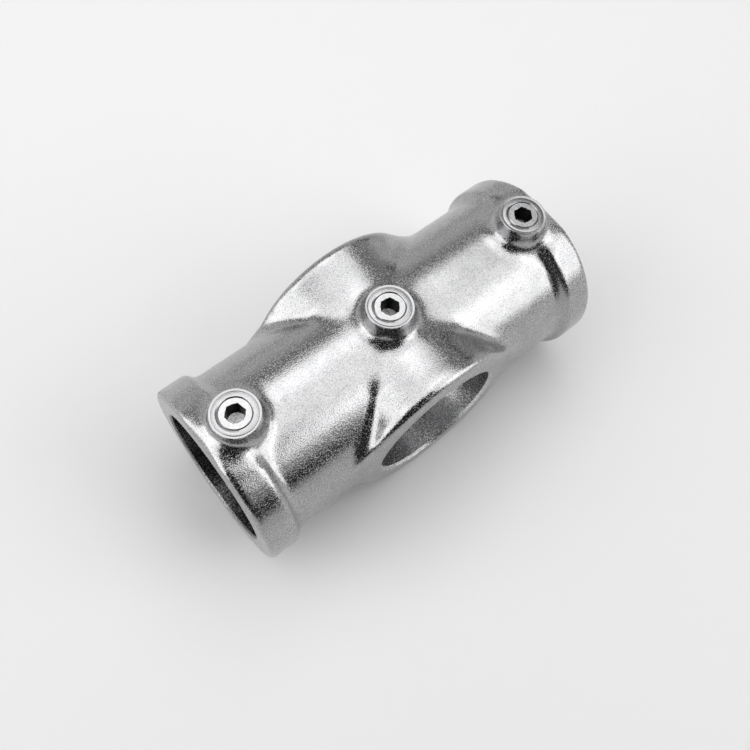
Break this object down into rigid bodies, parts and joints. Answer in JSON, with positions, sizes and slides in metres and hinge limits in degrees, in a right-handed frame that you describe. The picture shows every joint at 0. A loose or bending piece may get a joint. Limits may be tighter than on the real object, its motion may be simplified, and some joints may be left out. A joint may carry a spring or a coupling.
{
  "type": "two-socket cross for round tube",
  "caption": "Cast pipe clamp connector: one tube passes through its flared hub, a tube enters the barrel from each end, and set screws grip them.",
  "frame": {"origin": "where the through bore's axis crosses the barrel's axis", "axes": "+X along the barrel towards the right socket, +Y along the through bore, +Z along the set screws towards their heads"},
  "size_m": [0.1456, 0.0672, 0.072],
  "materials": {
    "galvanised_casting": "hot-dip galvanised, fine cast grain, satin",
    "plated_screw": "zinc-plated, turned"
  },
  "bodies": {
    "casting": {"cast_body": "galvanised_casting"},
    "left_screw": {"set_screw_left": "plated_screw"},
    "middle_screw": {"set_screw_middle": "plated_screw"},
    "right_screw": {"set_screw_right": "plated_screw"}
  },
  "joints": [
    {"name": "left_screw_run", "type": "slide", "parent": "casting", "child": "left_screw", "axis": [0, 0, -1], "range_m": [-0.007, 0.007]},
    {"name": "middle_screw_run", "type": "slide", "parent": "casting", "child": "middle_screw", "axis": [0, 0, -1], "range_m": [-0.007, 0.007]},
    {"name": "right_screw_run", "type": "slide", "parent": "casting", "child": "right_screw", "axis": [0, 0, -1], "range_m": [-0.007, 0.007]}
  ]
}
